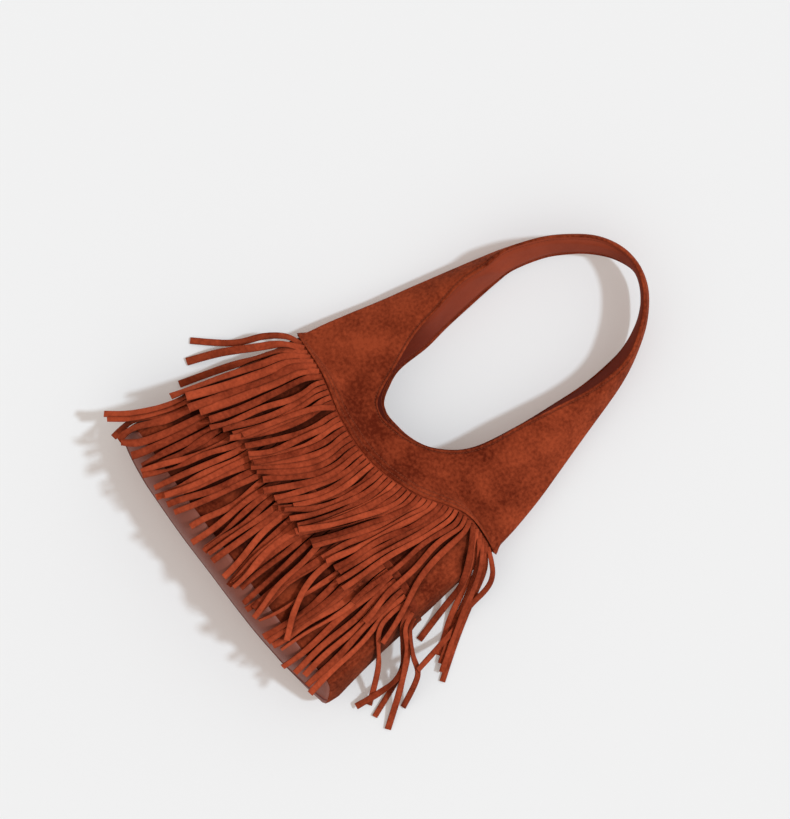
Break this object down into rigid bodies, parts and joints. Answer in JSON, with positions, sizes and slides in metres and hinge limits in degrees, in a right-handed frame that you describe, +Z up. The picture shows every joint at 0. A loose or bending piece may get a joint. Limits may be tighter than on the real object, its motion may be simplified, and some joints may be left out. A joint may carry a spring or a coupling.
{
  "type": "fringed suede shoulder bag",
  "caption": "Soft suede shoulder bag lying on its back: two tiers of cut fringe, an open mouth whose yoke runs on into the strap, and a smooth leather base.",
  "frame": {"origin": "on the flat of the back panel, where the bag rests on the floor, 100 mm up from the zero line of the base seam", "axes": "+X across the bag, +Y from the base towards the shoulder strap, +Z up from the floor through the front"},
  "size_m": [0.4382, 0.5306, 0.0874],
  "materials": {
    "suede": "rust brown suede with a short nap",
    "suede_fringe": "rust brown suede, cut into strands",
    "base_leather": "smooth satin leather, mauve brown",
    "smooth_leather": "smooth satin leather, red brown",
    "lining_cloth": "plain woven cloth"
  },
  "bodies": {
    "root": {"front_yoke": "suede", "back_yoke": "suede", "lower_front_panel": "suede", "lower_back_panel": "suede", "left_gusset": "suede", "right_gusset": "suede", "base_panel": "base_leather", "upper_fringe": "suede_fringe", "lower_fringe": "suede_fringe", "strap_lining": "smooth_leather", "front_facing": "smooth_leather", "back_facing": "smooth_leather", "lining": "lining_cloth"}
  },
  "joints": []
}
